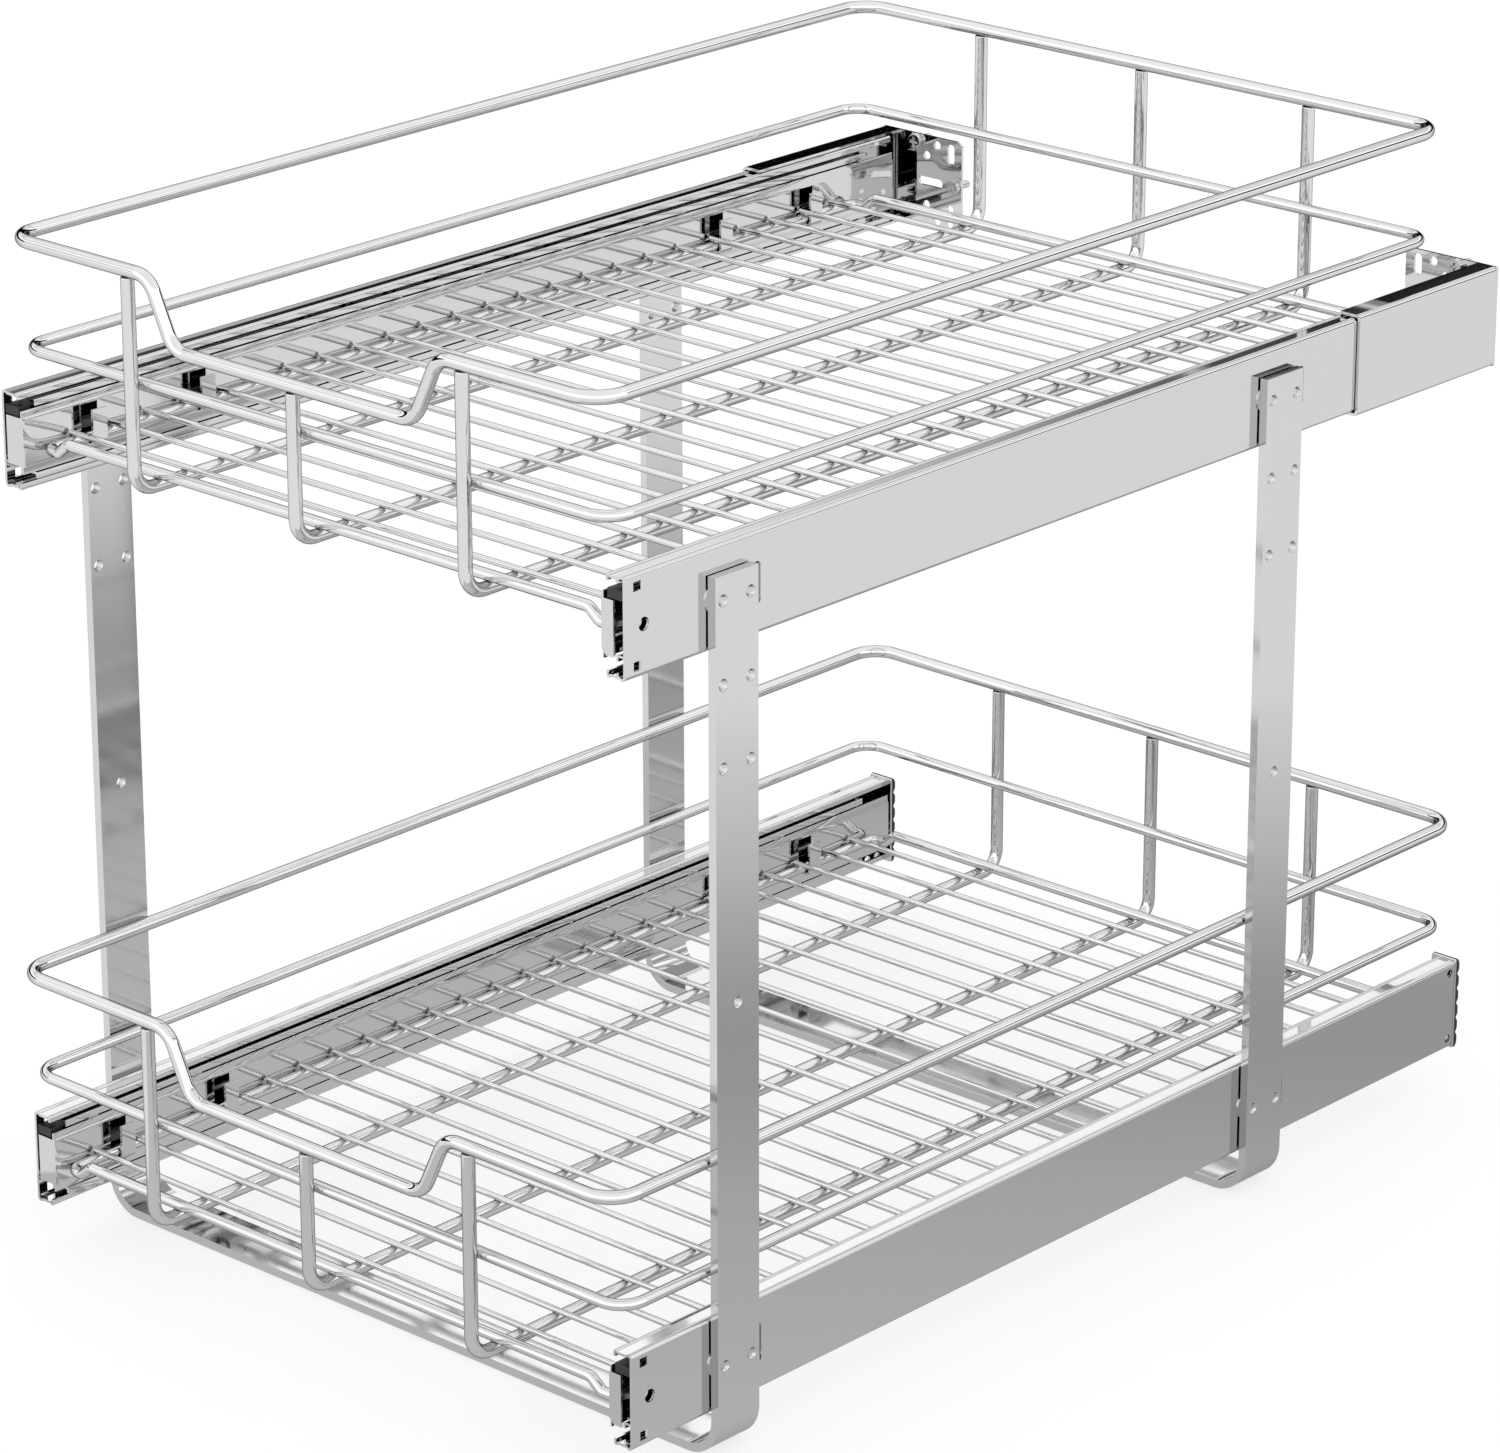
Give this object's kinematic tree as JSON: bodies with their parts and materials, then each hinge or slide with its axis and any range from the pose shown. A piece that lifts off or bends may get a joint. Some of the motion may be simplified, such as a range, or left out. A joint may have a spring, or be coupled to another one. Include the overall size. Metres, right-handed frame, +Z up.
{
  "type": "pull-out cabinet rack",
  "caption": "Free-standing pull-out rack for a base cabinet: stacked chromed wire baskets on ball-bearing slides carried by U-shaped steel straps",
  "frame": {"origin": "on the floor under the middle of the rack's bounding box", "axes": "+X to the right as seen from the front, +Y from the front to the rear (the baskets pull out along -Y), +Z up"},
  "size_m": [0.3714, 0.5852, 0.4692],
  "materials": {
    "chrome_wire": "bright chrome plated round wire",
    "strap_steel": "bright plated flat bar",
    "slide_steel": "bright zinc plated rolled sheet",
    "cage_steel": "zinc plated strip",
    "ball_steel": "polished bearing steel",
    "screw_steel": "zinc plated screw",
    "black_plastic": "moulded satin black",
    "grey_plastic": "moulded grey",
    "black_rubber": "ribbed matt rubber"
  },
  "bodies": {
    "frame": {"front_u_strap": "strap_steel", "rear_u_strap": "strap_steel", "upper_left_outer_member": "slide_steel", "upper_right_outer_member": "slide_steel", "upper_rail_screws": "screw_steel", "lower_left_outer_member": "slide_steel", "lower_right_outer_member": "slide_steel", "lower_rail_screws": "screw_steel", "left_end_cap": "strap_steel", "right_end_cap": "strap_steel", "left_end_bumper": "black_rubber", "right_end_bumper": "black_rubber"},
    "upper_drawer": {"upper_left_inner_member": "slide_steel", "upper_right_inner_member": "slide_steel", "upper_top_rim": "chrome_wire", "upper_mid_rail": "chrome_wire", "upper_floor_frame": "chrome_wire", "upper_left_long_wire": "chrome_wire", "upper_middle_long_wire": "chrome_wire", "upper_right_long_wire": "chrome_wire", "upper_cross_wires": "chrome_wire"},
    "upper_middle_members": {"upper_left_middle_member": "slide_steel", "upper_right_middle_member": "slide_steel", "upper_left_stop_block": "black_plastic", "upper_right_stop_block": "black_plastic"},
    "upper_outer_cages": {"upper_left_outer_cage": "cage_steel", "upper_right_outer_cage": "cage_steel", "upper_outer_balls": "ball_steel"},
    "upper_inner_cages": {"upper_left_inner_cage": "cage_steel", "upper_right_inner_cage": "cage_steel", "upper_inner_balls": "ball_steel"},
    "upper_left_lever": {"upper_left_release_lever": "grey_plastic"},
    "upper_right_lever": {"upper_right_release_lever": "grey_plastic"},
    "lower_drawer": {"lower_left_inner_member": "slide_steel", "lower_right_inner_member": "slide_steel", "lower_top_rim": "chrome_wire", "lower_mid_rail": "chrome_wire", "lower_floor_frame": "chrome_wire", "lower_left_long_wire": "chrome_wire", "lower_middle_long_wire": "chrome_wire", "lower_right_long_wire": "chrome_wire", "lower_cross_wires": "chrome_wire"},
    "lower_middle_members": {"lower_left_middle_member": "slide_steel", "lower_right_middle_member": "slide_steel", "lower_left_stop_block": "black_plastic", "lower_right_stop_block": "black_plastic"},
    "lower_outer_cages": {"lower_left_outer_cage": "cage_steel", "lower_right_outer_cage": "cage_steel", "lower_outer_balls": "ball_steel"},
    "lower_inner_cages": {"lower_left_inner_cage": "cage_steel", "lower_right_inner_cage": "cage_steel", "lower_inner_balls": "ball_steel"},
    "lower_left_lever": {"lower_left_release_lever": "grey_plastic"},
    "lower_right_lever": {"lower_right_release_lever": "grey_plastic"},
    "left_bracket": {"left_wall_bracket": "slide_steel", "left_wall_screws": "screw_steel"},
    "right_bracket": {"right_wall_bracket": "slide_steel", "right_wall_screws": "screw_steel"}
  },
  "joints": [
    {"name": "upper_drawer_slide", "type": "slide", "parent": "frame", "child": "upper_drawer", "axis": [0, -1, 0], "range_m": [0, 0.55]},
    {"name": "upper_middle_members_slide", "type": "slide", "parent": "frame", "child": "upper_middle_members", "axis": [0, -1, 0], "range_m": [0, 0.275]},
    {"name": "upper_outer_cages_slide", "type": "slide", "parent": "frame", "child": "upper_outer_cages", "axis": [0, -1, 0], "range_m": [0, 0.1375]},
    {"name": "upper_inner_cages_slide", "type": "slide", "parent": "frame", "child": "upper_inner_cages", "axis": [0, -1, 0], "range_m": [0, 0.4125]},
    {"name": "upper_left_lever_pivot", "type": "hinge", "parent": "upper_drawer", "child": "upper_left_lever", "pos_m": [-0.172, -0.2287, 0.3755], "axis": [1, 0, 0], "range_deg": [-4, 4], "stiffness_Nm_per_rad": 0.3},
    {"name": "upper_right_lever_pivot", "type": "hinge", "parent": "upper_drawer", "child": "upper_right_lever", "pos_m": [0.172, -0.2287, 0.3755], "axis": [1, 0, 0], "range_deg": [-4, 4], "stiffness_Nm_per_rad": 0.3},
    {"name": "lower_drawer_slide", "type": "slide", "parent": "frame", "child": "lower_drawer", "axis": [0, -1, 0], "range_m": [0, 0.55]},
    {"name": "lower_middle_members_slide", "type": "slide", "parent": "frame", "child": "lower_middle_members", "axis": [0, -1, 0], "range_m": [0, 0.275]},
    {"name": "lower_outer_cages_slide", "type": "slide", "parent": "frame", "child": "lower_outer_cages", "axis": [0, -1, 0], "range_m": [0, 0.1375]},
    {"name": "lower_inner_cages_slide", "type": "slide", "parent": "frame", "child": "lower_inner_cages", "axis": [0, -1, 0], "range_m": [0, 0.4125]},
    {"name": "lower_left_lever_pivot", "type": "hinge", "parent": "lower_drawer", "child": "lower_left_lever", "pos_m": [-0.172, -0.2287, 0.0427], "axis": [1, 0, 0], "range_deg": [-4, 4], "stiffness_Nm_per_rad": 0.3},
    {"name": "lower_right_lever_pivot", "type": "hinge", "parent": "lower_drawer", "child": "lower_right_lever", "pos_m": [0.172, -0.2287, 0.0427], "axis": [1, 0, 0], "range_deg": [-4, 4], "stiffness_Nm_per_rad": 0.3},
    {"name": "left_bracket_slide", "type": "slide", "parent": "frame", "child": "left_bracket", "axis": [0, 1, 0], "range_m": [-0.007, 0.06]},
    {"name": "right_bracket_slide", "type": "slide", "parent": "frame", "child": "right_bracket", "axis": [0, 1, 0], "range_m": [-0.007, 0.06]}
  ],
  "couplings": [
    {"joint": "upper_middle_members_slide", "follows": "upper_drawer_slide", "ratio": 0.5},
    {"joint": "upper_outer_cages_slide", "follows": "upper_drawer_slide", "ratio": 0.25},
    {"joint": "upper_inner_cages_slide", "follows": "upper_drawer_slide", "ratio": 0.75},
    {"joint": "lower_middle_members_slide", "follows": "lower_drawer_slide", "ratio": 0.5},
    {"joint": "lower_outer_cages_slide", "follows": "lower_drawer_slide", "ratio": 0.25},
    {"joint": "lower_inner_cages_slide", "follows": "lower_drawer_slide", "ratio": 0.75}
  ]
}
